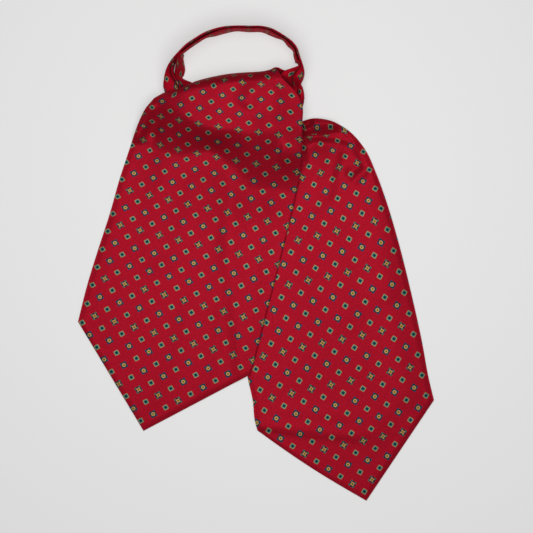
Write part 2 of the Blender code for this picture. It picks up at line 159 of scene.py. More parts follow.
def blade_plan(left, tip, right, top, bow):
    """A cut blade's plan: gives the place at (across, along), both 0 to 1, from the point up."""
    left_edge, right_edge, top_edge = curve_through(left), curve_through(right), curve_through(top)
    low_left, low_right = left_edge(0), right_edge(0)
    high_left, high_right = left_edge(1), right_edge(1)
    side = np.array(tip) - low_left
    outward = np.array([side[1], -side[0]]) / np.linalg.norm(side)

    def point_edge(across):
        if across < 0.5:
            return low_left + side * across * 2.0 + outward * bow * math.sin(across * 2.0 * math.pi)
        return np.array(tip) + (low_right - tip) * (across * 2.0 - 1.0)

    def place(across, along):
        sides = left_edge(along) * (1.0 - across) + right_edge(along) * across
        ends = point_edge(across) * (1.0 - along) + top_edge(across) * along
        low = low_left * (1.0 - across) + low_right * across
        high = high_left * (1.0 - across) + high_right * across
        return sides + ends - low * (1.0 - along) - high * along

    return place


def flat_print(layout, x, y):
    """The place on the print of a flat cloth's point."""
    return np.array([start + by_x * x + by_y * y for start, by_x, by_y in layout])


def taken_up(x, y, columns, table):
    """How much print the gathers hide between the flat cloth and a place."""
    rows = [row[0] for row in table]
    at_columns = [smooth_between(rows, np.array([row[1][i] for row in table]), y)
                  for i in range(len(columns))]
    along = np.interp(x, columns, [value[0] for value in at_columns])
    return np.array([along, np.interp(x, columns, [value[1] for value in at_columns])])


def back_height(x, y):
    """Height of the back blade's cloth over the table, without its soft rim."""
    distance = math.hypot(x - BACK_ROOT[0], y - BACK_ROOT[1])
    swell = ROOT_SWELL * math.exp(-((distance / ROOT_REACH) ** 2))
    return BACK_PLY + max(0.0, swell + folds_at(BACK_FOLDS, x, y))


def back_print(x, y):
    """The back blade's place on the print."""
    return flat_print(BACK_PRINT, x, y) + taken_up(x, y, BACK_TAKEN_X, BACK_TAKEN)


def print_on(shape, printed):
    """Gives each corner of the cloth its place on the print, as the map that the silk reads."""
    cloth = shape.loops.layers.uv.new("cloth")
    for face in shape.faces:
        for loop in face.loops:
            loop[cloth].uv = printed[loop.vert.index]


def sewn(shape, name):
    """The finished piece, smooth and at the origin."""
    mesh = bpy.data.meshes.new(name)
    shape.to_mesh(mesh)
    shape.free()
    mesh.shade_smooth()
    piece = bpy.data.objects.new(name, mesh)
    bpy.context.scene.collection.objects.link(piece)
    return piece


def cloth_piece(name, columns, rows, place, wall, outward):
    """A woven sheet: a grid moved to place(across, row), which also gives its place on the print."""
    shape = bmesh.new()
    bmesh.ops.create_grid(shape, x_segments=columns, y_segments=rows, size=0.5)
    shape.verts.ensure_lookup_table()
    printed = []
    for vertex in shape.verts:
        x, y, z, u, v = place(vertex.co.x + 0.5, (vertex.co.y + 0.5) * rows)
        vertex.co = (x * MM, y * MM, z * MM)
        printed.append((u, v))
    print_on(shape, printed)
    bmesh.ops.recalc_face_normals(shape, faces=shape.faces)
    facing = sum(face.normal.dot(Vector(outward)) * face.calc_area() for face in shape.faces)
    if facing < 0.0:
        bmesh.ops.reverse_faces(shape, faces=shape.faces)
    piece = sewn(shape, name)
    ply = piece.modifiers.new("ply", "SOLIDIFY")
    ply.thickness = wall * MM
    ply.offset = -1.0
    ply.use_even_offset = True
    edge = piece.modifiers.new("pressed_edge", "BEVEL")
    edge.width = wall * EDGE_ROUND * MM
    edge.segments = 3
    edge.limit_method = "ANGLE"
    edge.angle_limit = math.radians(EDGE_TURN)
    return piece


LUSTRE = 0.7                # how much of a dye's brightness is left once the silk's shine is added


def dyed(red, green, blue):
    """A dye as it looks on the finished silk, 0 to 255, as the linear colour that a shader takes."""
    linear = [((value / 255.0 + 0.055) / 1.055) ** 2.4 for value in (red, green, blue)]
    return (*[value * LUSTRE for value in linear], 1.0)


# Dyes of the print. A large motif's outline has one dye at its corners and one along its sides.
ROSETTE_CORNER, ROSETTE_SIDE = dyed(0, 66, 98), dyed(0, 50, 60)
ROSETTE_RING, ROSETTE_FACE, ROSETTE_EYE = dyed(10, 100, 78), dyed(208, 146, 98), dyed(96, 120, 12)
STAR_CORNER, STAR_SIDE = dyed(0, 104, 88), dyed(0, 54, 74)
STAR_FACE, STAR_EYE = dyed(206, 140, 92), dyed(94, 124, 12)
SMALL_OUTLINE, SMALL_FACE, SMALL_EYE = dyed(138, 158, 118), dyed(30, 104, 92), dyed(12, 50, 78)
# Half widths of the motifs and of what is printed inside them, in millimetres.
LARGE_HALF, LARGE_SIDE_HALF, LARGE_SIDE_BLEED = 2.8, 1.15, 0.4
ROSETTE_RING_HALF, ROSETTE_FACE_HALF, ROSETTE_EYE_HALF = 1.95, 1.65, 0.85
STAR_FACE_HALF, STAR_EYE_HALF = 1.62, 0.9
SMALL_HALF, SMALL_FACE_HALF, SMALL_EYE_HALF = 2.1, 1.45, 0.9
# How far their corners are cut off: 0.5 leaves a square, and 1 a square set on its point.
ROSETTE_CUT, LARGE_CUT, SMALL_CUT = 0.72, 0.53, 0.55
STAR_ARM, STAR_WAIST = 0.7, 0.465       # how much a star is drawn in along its sides
BLEED = 0.25                            # how far a dye bleeds at its edge
ROWS_IN_TURN = 5.0
STAR_ROWS = (1.0, 4.0)                  # of rows 0 to 4, those with stars and not rosettes
ROW_GUARD = 0.1                         # keeps a whole row from being counted as the one before
# Uneven threads: scale and detail of the long slubs and of the single threads, the part that each
# has, and the shades of dye between which they vary.
SLUB_SCALE, SLUB_DETAIL, SLUB_PART = 9.0, 4.0, 0.35
THREAD_SCALE, THREAD_DETAIL, THREAD_PART = 17.0, 2.0, 0.65
SHADE_DARK, SHADE_LIGHT = 0.3, 1.7
THREAD_MATT = 0.12                      # how much rougher the coarsest threads are
# Relief of the weave: the twill's diagonal, the finer weft across it, and its height.
DIAGONAL_TURN, WEFT_TURN, WEFT_PART = 0.7071, 0.35, 0.35
WEAVE_STRENGTH, WEAVE_HEIGHT = 0.35, 0.05
SILK_FINISH = {
    "Metallic": 0.3, "Specular IOR Level": 0.12, "IOR": 1.12, "Specular Tint": (0.85, 0.12, 0.16, 1.0),
    "Sheen Weight": 0.1, "Sheen Roughness": 0.35, "Sheen Tint": (0.9, 0.12, 0.16, 1.0),
}


def printed_silk(name, ground, roughness):
    """Silk twill, dyed plain, then printed with rows of rosettes and stars, and small squares between."""
    silk = bpy.data.materials.new(name)
    silk.use_nodes = True
    nodes, links = silk.node_tree.nodes, silk.node_tree.links
    finish = nodes["Principled BSDF"]

    def link(value, socket):
        if isinstance(value, bpy.types.NodeSocket):
            links.new(value, socket)
        else:
            socket.default_value = value

    def sum_of(operation, first, second=0.0):
        """One step of arithmetic, on numbers or on other steps."""
        node = nodes.new("ShaderNodeMath")
        node.operation = operation
        for value, socket in zip((first, second), node.inputs):
            link(value, socket)
        return node.outputs[0]

    def within(distance, limit, soft=BLEED):
        """1 where the distance is under the limit, 0 outside, with a soft bleed between."""
        node = nodes.new("ShaderNodeMapRange")
        node.interpolation_type = "SMOOTHSTEP"
        link(distance, node.inputs["Value"])
        node.inputs["From Min"].default_value = limit + soft
        node.inputs["From Max"].default_value = limit - soft
        return node.outputs["Result"]

    def mixed(share, under, over):
        """The colour under where the share is 0, and the colour over where it is 1."""
        node = nodes.new("ShaderNodeMix")
        node.data_type = "RGBA"
        link(share, node.inputs["Factor"])
        link(under, node.inputs["A"])
        link(over, node.inputs["B"])
        return node.outputs["Result"]

    def threads(scale, detail):
        """How pale the threads are from place to place, 0 to 1."""
        node = nodes.new("ShaderNodeTexNoise")
        node.inputs["Scale"].default_value = scale
        node.inputs["Detail"].default_value = detail
        links.new(cloth.outputs["UV"], node.inputs["Vector"])
        return node.outputs["Fac"]

    def cut_square(far, near, cut):
        """Distance from the middle of a square with its corners cut off."""
        return sum_of("MAXIMUM", far, sum_of("MULTIPLY", sum_of("ADD", far, near), cut))

    cloth = nodes.new("ShaderNodeUVMap")
    cloth.uv_map = "cloth"
    split = nodes.new("ShaderNodeSeparateXYZ")
    links.new(cloth.outputs["UV"], split.inputs["Vector"])
    across, up = split.outputs["X"], split.outputs["Y"]

    def square_at(shift):
        """Distances in millimetres from a printed square's middle: the longer and the shorter one
        along its own sides, and the straight one."""
        from_x = sum_of("SUBTRACT", across, sum_of("ROUND", sum_of("SUBTRACT", across, shift)))
        from_y = sum_of("SUBTRACT", up, sum_of("ROUND", sum_of("SUBTRACT", up, shift)))
        from_x, from_y = sum_of("SUBTRACT", from_x, shift), sum_of("SUBTRACT", from_y, shift)
        scale = REPEAT / math.sqrt(2.0)
        one = sum_of("ABSOLUTE", sum_of("MULTIPLY", sum_of("ADD", from_x, from_y), scale))
        two = sum_of("ABSOLUTE", sum_of("MULTIPLY", sum_of("SUBTRACT", from_x, from_y), scale))
        far, near = sum_of("MAXIMUM", one, two), sum_of("MINIMUM", one, two)
        one_squared, two_squared = sum_of("MULTIPLY", one, one), sum_of("MULTIPLY", two, two)
        return far, near, sum_of("SQRT", sum_of("ADD", one_squared, two_squared))

    far, near, straight = square_at(0.0)
    sides = within(near, LARGE_SIDE_HALF, LARGE_SIDE_BLEED)
    cut = cut_square(far, near, ROSETTE_CUT)
    rosette = mixed(sides, ROSETTE_CORNER, ROSETTE_SIDE)
    rosette = mixed(within(cut, ROSETTE_RING_HALF), rosette, ROSETTE_RING)
    rosette = mixed(within(cut, ROSETTE_FACE_HALF), rosette, ROSETTE_FACE)
    rosette = mixed(within(straight, ROSETTE_EYE_HALF), rosette, ROSETTE_EYE)
    arms = sum_of("ADD", sum_of("MULTIPLY", sum_of("SUBTRACT", far, near), STAR_ARM),
                  sum_of("MULTIPLY", sum_of("ADD", far, near), STAR_WAIST))
    star = mixed(sides, STAR_CORNER, STAR_SIDE)
    star = mixed(within(arms, STAR_FACE_HALF), star, STAR_FACE)
    star = mixed(within(straight, STAR_EYE_HALF), star, STAR_EYE)
    row = sum_of("MULTIPLY", sum_of("ROUND", up), -1.0)
    whole_turns = sum_of("FLOOR", sum_of("DIVIDE", sum_of("ADD", row, ROW_GUARD), ROWS_IN_TURN))
    place = sum_of("SUBTRACT", row, sum_of("MULTIPLY", whole_turns, ROWS_IN_TURN))
    first, last = [within(sum_of("ABSOLUTE", sum_of("SUBTRACT", place, star_row)), 0.5)
                   for star_row in STAR_ROWS]
    large = mixed(sum_of("ADD", first, last), rosette, star)

    small_far, small_near, _ = square_at(0.5)
    small = mixed(within(small_far, SMALL_FACE_HALF), SMALL_OUTLINE, SMALL_FACE)
    small = mixed(within(small_far, SMALL_EYE_HALF), small, SMALL_EYE)

    slub, thread = threads(SLUB_SCALE, SLUB_DETAIL), threads(THREAD_SCALE, THREAD_DETAIL)
    dark, light = [tuple(value * shade for value in ground[:3]) + (1.0,)
                   for shade in (SHADE_DARK, SHADE_LIGHT)]
    base = mixed(sum_of("ADD", sum_of("MULTIPLY", slub, SLUB_PART),
                        sum_of("MULTIPLY", thread, THREAD_PART)), dark, light)
    base = mixed(within(cut_square(far, near, LARGE_CUT), LARGE_HALF), base, large)
    base = mixed(within(cut_square(small_far, small_near, SMALL_CUT), SMALL_HALF), base, small)
    links.new(base, finish.inputs["Base Color"])

    turns = 2.0 * math.pi * REPEAT / TWILL
    diagonal = sum_of("SINE", sum_of("MULTIPLY", sum_of("ADD", across, up), turns * DIAGONAL_TURN))
    weft = sum_of("SINE", sum_of("MULTIPLY", sum_of("SUBTRACT", across, up), turns * WEFT_TURN))
    weave = sum_of("ADD", diagonal, sum_of("MULTIPLY", weft, WEFT_PART))
    bump = nodes.new("ShaderNodeBump")
    bump.inputs["Strength"].default_value = WEAVE_STRENGTH
    bump.inputs["Distance"].default_value = WEAVE_HEIGHT * MM
    links.new(weave, bump.inputs["Height"])
    links.new(bump.outputs["Normal"], finish.inputs["Normal"])
    rough = sum_of("ADD", roughness, sum_of("MULTIPLY", thread, THREAD_MATT))
    links.new(rough, finish.inputs["Roughness"])
    for socket, value in SILK_FINISH.items():
        finish.inputs[socket].default_value = value
    return silk


BLADE_RED = dyed(172, 21, 41)
BLADE_ROUGHNESS = 0.42
back_plan = blade_plan(BACK_LEFT, BACK_TIP, BACK_RIGHT, [BACK_LEFT[-1], BACK_RIGHT[-1]], POINT_BOW)


def near_edges(share):
    """Sets a grid's columns closer together towards both edges."""
    return share - COLUMN_CROWDING * math.sin(2.0 * math.pi * share)


def soft_rim(across, row, right=RIM_PART):
    """How far a blade stands up from its pressed edges, where the folded silk holds some air."""
    return RIM_RISE * eased(min(across * RIM_PART, (1.0 - across) * right)) * eased(row / POINT_RIM_ROWS)


def back_place(across, row):
    across = near_edges(across)
    x, y = back_plan(across, row / BACK_ROWS)
    return (x, y, back_height(x, y) + soft_rim(across, row), *back_print(x, y))


back_blade = cloth_piece("back_blade_cloth", BLADE_COLUMNS, BACK_ROWS, back_place, BACK_PLY, (0, 0, 1))
back_blade.data.materials.append(printed_silk("blade_silk", BLADE_RED, BLADE_ROUGHNESS))
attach(back_blade, "root")
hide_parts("back_blade")


# Front blade: the other broad end, of the same double silk. It lies on the table and on the back
# blade, swells up over the knot, and rolls down behind it, held by nothing but the knot under it.

FRONT_PLY = 1.4
FRONT_ROWS = 116
ROLL_ROWS = 12              # rows in each of the two quarters of the roll at the top
ROLL_RIM_PART = 170.0       # the rim beside the back blade is narrow and sharp
EDGE_CLIMB = 17.0           # how far before the back blade's edge the front one starts to climb
CLIMB_RUN = 15.5            # over what distance it climbs
LAYER_ROOM = 0.45           # room left between the two blades
BANK_SOFT, BANK_STRAIGHT = 0.42, 0.58   # how much of the bank eases in and out, and how much is even
APRON_FOOT = 20.0           # y where the gentle rise below the bank starts
APRON_OVERLAP = 6.0         # how far it runs on up the bank
CROWN_GAIN, CROWN_RUN = 0.06, 22.0      # the cloth still rises a little from the lip to the roll
FRONT_TIP = (-96.8, -143.6)
FRONT_LEFT = [
    (-153.2, -49.6), (-145.5, -18.9), (-136.0, 12.1), (-125.9, 43.1), (-117.1, 74.1),
    (-110.3, 94.7), (-104.9, 110.9), (-101.0, 121.4), (-95.6, 132.3), (-87.4, 142.3),
]
FRONT_RIGHT = [
    (-4.9, -95.1), (-2.1, -86.1), (5.6, -56.8), (18.9, -5.1), (33.6, 55.1), (38.6, 80.9),
    (39.8, 100.9), (39.9, 122.7), (40.3, 132.1), (37.4, 142.9), (31.6, 150.1), (25.0, 156.7),
]
# The swell over the knot, across the blade: x, y of the bank's foot and of its lip, how late the
# bank steepens, the height that it gains, and the height gained gently below it.
PUFF = np.array([
    (-114.0, 106.0, 140.0, 1.0, 0.0, 0.0), (-106.0, 106.0, 140.0, 1.0, 1.5, 0.0),
    (-101.0, 105.0, 141.0, 1.0, 4.0, 0.3), (-95.6, 103.0, 143.0, 1.0, 9.5, 0.6),
    (-87.0, 99.5, 142.0, 1.0, 17.5, 1.4), (-78.4, 95.0, 138.0, 1.0, 22.0, 2.6),
    (-69.7, 92.0, 133.0, 1.1, 24.4, 4.0), (-61.1, 91.5, 126.2, 1.2, 25.6, 5.0),
    (-52.5, 94.5, 121.0, 1.2, 25.8, 6.0), (-43.9, 97.0, 117.5, 1.05, 25.8, 7.0),
    (-35.3, 96.5, 115.0, 1.0, 25.8, 8.2), (-26.7, 90.0, 114.5, 1.2, 25.8, 8.8),
    (-18.1, 76.0, 114.5, 1.45, 26.0, 8.2), (-9.5, 66.0, 112.5, 1.3, 26.4, 7.2),
    (-0.9, 65.0, 112.5, 1.1, 26.4, 6.5), (7.7, 65.0, 113.0, 1.05, 25.6, 5.5),
    (16.4, 65.0, 114.0, 1.0, 24.6, 5.0), (25.0, 63.0, 115.5, 1.0, 23.0, 4.5),
    (33.6, 62.0, 117.0, 0.95, 21.4, 4.2), (40.0, 62.0, 118.0, 0.9, 20.4, 4.0),
])
# The roll at the top: crown x and y, edge x, y and z, and how far it turns under, in degrees.
ROLL = np.array([
    (-87.4, 142.3, -79.6, 146.8, 17.3, 8.0), (-72.0, 143.3, -69.0, 149.4, 18.2, 8.0),
    (-60.5, 146.7, -58.5, 154.0, 18.2, 10.0), (-52.5, 148.9, -51.0, 157.1, 17.0, 30.0),
    (-45.0, 150.3, -43.0, 159.4, 15.4, 80.0), (-22.4, 153.9, -22.4, 163.4, 15.0, 90.0),
    (-8.0, 155.4, -8.0, 164.6, 15.2, 90.0), (1.0, 155.9, 0.5, 165.0, 16.5, 90.0),
    (10.0, 156.1, 9.0, 166.0, 18.5, 80.0), (18.0, 157.5, 14.2, 167.4, 21.5, 40.0),
    (25.0, 156.7, 17.0, 168.2, 24.5, 10.0),
])
# Its ridges and troughs, its print and what its gathers take up are given as for the back blade.
FRONT_FOLDS = [
    (-102.0, 111.0, -92.0, 134.0, 6.0, 8.5),
    (-90.0, 112.0, -80.0, 128.0, 6.0, -2.5),
    (-78.0, 86.0, -88.0, 10.0, 13.0, 1.3),
    (-52.0, 70.0, -58.0, 24.0, 8.0, -0.9),
    (-24.0, 72.0, -30.0, -19.0, 11.0, 1.3),
    (6.0, 60.0, -6.0, -60.0, 9.0, 0.6),
    (-118.0, 30.0, -132.0, -40.0, 9.0, 0.9),
    (-70.0, -30.0, -92.0, -110.0, 12.0, 0.9),
    (-40.0, -40.0, -46.0, -100.0, 9.0, 0.6),
    (4.0, 160.0, -7.0, 138.0, 9.0, -2.8),
    (24.0, 94.5, 44.0, 92.5, 11.0, 5.4),
    (21.0, 160.0, 36.0, 145.0, 2.6, 0.9),
    (14.0, 157.0, 19.0, 152.0, 2.4, -0.8),
]
FRONT_PRINT = [(6.915, 0.05456, -0.01482), (-1.235, 0.016, 0.0569)]
ROLL_PRINT = np.array([-0.0148, 0.0569])        # what a millimetre of cloth adds over the roll
ROLL_DOWN, ROLL_BACK, ROLL_UNDER = 0.75, 0.6, 0.2   # how much cloth lies on each way round it
FRONT_TAKEN_X = [-100.0, -60.0, -20.0, 20.0]
FRONT_TAKEN = [
    (-20.0, [(0.0, 0.0), (0.0, 0.0), (0.0, 0.0), (0.0, 0.0)]),
    (10.0, [(-0.01, 0.12), (0.03, 0.09), (0.02, -0.01), (0.02, -0.07)]),
    (30.0, [(-0.04, 0.18), (0.04, 0.14), (0.05, 0.04), (0.08, -0.06)]),
    (50.0, [(-0.06, 0.28), (0.05, 0.24), (0.09, 0.11), (0.15, -0.02)]),
    (70.0, [(-0.04, 0.42), (0.09, 0.35), (0.2, 0.24), (0.27, 0.1)]),
    (90.0, [(-0.02, 0.55), (0.18, 0.56), (0.34, 0.47), (0.43, 0.27)]),
    (110.0, [(-0.05, 0.75), (0.4, 0.96), (0.54, 0.83), (0.66, 0.58)]),
    (130.0, [(0.32, 1.4), (0.66, 1.37), (0.77, 1.18), (0.9, 0.8)]),
    (150.0, [(0.6, 1.8), (0.72, 1.62), (0.88, 1.48), (1.15, 1.09)]),
    (165.0, [(0.85, 2.1), (0.95, 1.95), (1.05, 1.8), (1.6, 1.55)]),
]
# The camera looks straight down on this place. Raised cloth takes the print that it shows to it.
CAMERA_HEIGHT = 4800.0
CAMERA_OVER = (9.04, -2.11)


def back_edge_x(y):
    """Where the back blade's left edge lies under the front blade."""
    edge = np.array(BACK_LEFT[:-2])
    return smooth_between(edge[:, 1], edge[:, 0], y)


def front_height(x, y):
    """Height of the front blade's cloth over the table, without its soft rim."""
    past_edge = x - back_edge_x(y) + EDGE_CLIMB
    climb = eased(past_edge / CLIMB_RUN) * (back_height(x, y) + RIM_RISE + LAYER_ROOM)
    foot_y, lip_y, lateness, bank, apron = smooth_between(PUFF[:, 0], PUFF[:, 1:], x)
    up_bank = min(max((y - foot_y) / (lip_y - foot_y), 0.0), 1.0) ** lateness
    swell = bank * (BANK_SOFT * eased(up_bank) + BANK_STRAIGHT * up_bank)
    swell += apron * eased((y - APRON_FOOT) / (foot_y + APRON_OVERLAP - APRON_FOOT))
    swell += CROWN_GAIN * (bank + apron) * eased((y - lip_y) / CROWN_RUN)
    return FRONT_PLY + max(0.0, math.hypot(climb, swell) + folds_at(FRONT_FOLDS, x, y))


def front_print(x, y, z):
    """The front blade's place on the print."""
    near = z / CAMERA_HEIGHT
    x, y = x + (x - CAMERA_OVER[0]) * near, y + (y - CAMERA_OVER[1]) * near
    return flat_print(FRONT_PRINT, x, y) + taken_up(x, y, FRONT_TAKEN_X, FRONT_TAKEN)


front_plan = blade_plan(FRONT_LEFT, FRONT_TIP, FRONT_RIGHT, [row[:2] for row in ROLL], 0.0)
roll_steps = np.hypot(np.diff(ROLL[:, 2]), np.diff(ROLL[:, 3]))
roll_along = np.concatenate(([0.0], np.cumsum(roll_steps))) / roll_steps.sum()


def front_place(across, row):
    across = near_edges(across)
    rise = soft_rim(across, row, ROLL_RIM_PART)
    if row <= FRONT_ROWS:
        x, y = front_plan(across, row / FRONT_ROWS)
        z = front_height(x, y) + rise
        return (x, y, z, *front_print(x, y, z))
    crown_x, crown_y = front_plan(across, 1.0)
    crown_z = front_height(crown_x, crown_y) + rise
    roll = smooth_between(roll_along, ROLL, across)
    over = min((row - FRONT_ROWS) / ROLL_ROWS, 1.0) * math.pi / 2.0
    under = max((row - FRONT_ROWS) / ROLL_ROWS - 1.0, 0.0) * math.radians(roll[5])
    reach = math.sin(over) - (1.0 - math.cos(under))
    x = crown_x + (roll[2] - crown_x) * reach
    y = crown_y + (roll[3] - crown_y) * reach
    z = roll[4] + (crown_z - roll[4]) * math.cos(over) - roll[4] * math.sin(under)
    run = (crown_z - z) * ROLL_DOWN + abs(y - crown_y) * ROLL_BACK + roll[4] * under * ROLL_UNDER
    return (x, y, z, *(front_print(crown_x, crown_y, crown_z) + ROLL_PRINT * run))


front_blade = cloth_piece("front_blade_cloth", BLADE_COLUMNS, FRONT_ROWS + 2 * ROLL_ROWS,
                          front_place, FRONT_PLY, (0, 0, 1))
front_blade.data.materials.append(back_blade.data.materials[0])
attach(front_blade, "root")
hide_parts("front_blade")


# Neckband and its gathers: the middle of the same cloth, laid in pleats along its length and
# stitched, so that it stands on edge in a loop. At both ends the pleats open towards the knot.

PRESSED = 3.8               # thickness of the pleats at the foot, pressed together
BAND_WIDTH = 40.0
BAND_PRINT = (0.3, 2.2)     # where the print starts, round the pleats and along the band
OUTLINE_DEPTH = 0.5         # the outline's depth against its height, for the print round it
BAND_ROWS, LEFT_ROWS, RIGHT_ROWS = 120, 44, 40
FOOT_SPREAD = 1.2           # how much wider an opened pleat stands at its foot
OPENED_CLOTH = 1.5          # how much cloth lies in an opened pleat for what shows of it
MERGED = 0.005              # points this near become one
# Plan of the outer top edge and the inner foot, thickness at the top, heights outside and inside,
# and how far the pleats part.
NECKBAND = [
    (-66.4, 181.6, -63.9, 179.6, 3.6, 39.8, 38.9, 0.5), (-60.1, 187.9, -56.9, 185.1, 4.9, 40.0, 39.0, 1.0),
    (-52.5, 193.1, -49.0, 190.5, 5.0, 40.0, 39.0, 1.1), (-44.8, 197.7, -42.4, 194.4, 4.8, 40.0, 39.0, 1.0),
    (-37.2, 200.8, -35.3, 195.7, 4.6, 40.0, 39.0, 0.5), (-28.2, 203.0, -27.4, 197.9, 4.0, 40.0, 39.0, 0.3),
    (-17.1, 203.8, -17.1, 200.0, 3.0, 40.0, 39.0, 0.3), (-6.0, 203.7, -6.0, 199.3, 3.2, 40.0, 39.0, 0.3),
    (6.6, 203.3, 5.4, 199.0, 3.2, 40.0, 39.0, 0.4), (13.4, 201.6, 10.9, 196.8, 3.6, 40.0, 39.0, 0.4),
    (19.8, 198.3, 16.5, 194.5, 4.5, 40.0, 39.0, 0.5), (26.4, 194.0, 23.2, 192.0, 4.0, 40.0, 39.0, 0.6),
    (32.0, 189.6, 27.0, 187.3, 5.0, 40.0, 39.0, 0.8), (35.6, 184.5, 31.4, 183.2, 4.6, 40.0, 38.7, 0.9),
    (37.6, 178.5, 32.2, 178.4, 4.9, 39.4, 38.1, 0.8), (39.3, 173.1, 33.8, 172.7, 4.8, 37.6, 36.6, 0.5),
]
# Outline of the pleats on edge: across them, height, and how far it sinks where they part.
PLEATS = [
    (0.06, 0.0, 0.0), (0.0, 0.03, 0.0), (0.0, 0.25, 0.0), (0.0, 0.46, 0.0), (0.03, 0.5, 0.0),
    (0.12, 0.525, 0.0), (0.03, 0.55, 0.0), (0.0, 0.6, 0.0), (0.0, 0.8, 0.0), (0.0, 0.96, 0.0),
    (0.04, 0.985, 0.0), (0.11, 1.0, 0.0), (0.2, 1.0, 0.0), (0.26, 0.985, 0.0), (0.3, 0.95, 0.04),
    (0.33, 0.91, 0.2), (0.36, 0.89, 0.6), (0.48, 0.88, 0.7), (0.6, 0.89, 0.58), (0.63, 0.91, 0.16),
    (0.67, 0.93, 0.03), (0.72, 0.935, 0.0), (0.8, 0.92, 0.0), (0.88, 0.89, 0.0), (0.95, 0.84, 0.0),
    (1.0, 0.77, 0.0), (1.0, 0.7, 0.0), (0.99, 0.65, 0.0), (0.93, 0.63, 0.0), (0.8, 0.61, 0.0),
    (0.93, 0.59, 0.0), (1.0, 0.55, 0.0), (1.0, 0.42, 0.0), (0.99, 0.32, 0.0), (0.93, 0.29, 0.0),
    (0.82, 0.27, 0.0), (0.93, 0.25, 0.0), (1.0, 0.21, 0.0), (1.0, 0.1, 0.0), (0.98, 0.03, 0.0),
    (0.9, 0.0, 0.0),
]
# An opened pleat's outline on edge: across it, and height.
OPENED = [
    (0.04, 0.0), (0.0, 0.15), (0.0, 0.4), (0.0, 0.65), (0.0, 0.84), (0.015, 0.93), (0.05, 0.98),
    (0.11, 1.0), (0.2, 1.0), (0.32, 1.0), (0.44, 1.0), (0.56, 1.0), (0.68, 1.0), (0.8, 1.0),
    (0.89, 1.0), (0.95, 0.98), (0.985, 0.93), (1.0, 0.84), (1.0, 0.65), (1.0, 0.4), (1.0, 0.15),
    (0.96, 0.0),
]
# Each opened pleat, from the neckband down: its place on the print, then its outer and its inner
# edge as x, y and height, and how far its back is domed.
LEFT_PLEATS = [
    (0.6, -0.13, [
        (-65.6, 182.4, 39.8, -64.5, 181.6, 39.6, 0.3), (-69.8, 178.0, 37.2, -67.8, 178.0, 36.6, 0.6),
        (-73.5, 173.5, 31.8, -70.2, 174.2, 31.0, 1.0), (-76.1, 169.2, 26.0, -72.8, 170.1, 25.2, 1.4),
        (-77.8, 164.8, 21.8, -73.7, 165.9, 21.4, 1.6), (-78.7, 160.2, 19.2, -72.6, 161.6, 18.8, 1.6),
        (-79.4, 153.5, 17.4, -69.3, 156.2, 16.6, 1.4), (-77.9, 146.8, 16.0, -65.7, 149.5, 14.6, 0.8),
    ]),
    (0.1, 0.3, [
        (-64.6, 181.3, 39.3, -63.9, 180.6, 39.3, 0.2), (-67.5, 177.9, 36.6, -66.9, 177.4, 36.0, 0.4),
        (-70.0, 174.2, 31.6, -69.4, 173.9, 31.2, 0.6), (-72.3, 170.2, 26.4, -70.4, 169.8, 26.0, 1.0),
        (-73.1, 166.1, 22.4, -70.9, 165.8, 22.0, 1.2), (-72.0, 161.8, 19.0, -70.0, 162.1, 18.6, 1.0),
        (-68.6, 156.2, 15.2, -66.6, 157.1, 14.4, 0.8), (-65.0, 149.6, 11.6, -63.0, 150.8, 11.0, 0.5),
    ]),
    (0.32, 0.38, [
        (-64.0, 180.9, 39.3, -62.2, 179.9, 38.9, 0.2), (-66.9, 177.3, 37.0, -62.8, 176.6, 30.0, 0.4),
        (-68.4, 173.6, 33.0, -62.4, 174.0, 20.0, 0.6), (-69.1, 169.6, 28.6, -61.8, 170.3, 12.5, 0.6),
        (-69.6, 165.7, 22.0, -61.4, 166.5, 8.5, 0.5), (-69.5, 162.4, 18.0, -62.3, 162.7, 7.5, 0.5),
        (-66.3, 157.5, 14.0, -63.4, 159.6, 7.5, 0.5), (-62.8, 151.3, 9.6, -54.3, 155.6, 7.0, 0.4),
    ]),
]
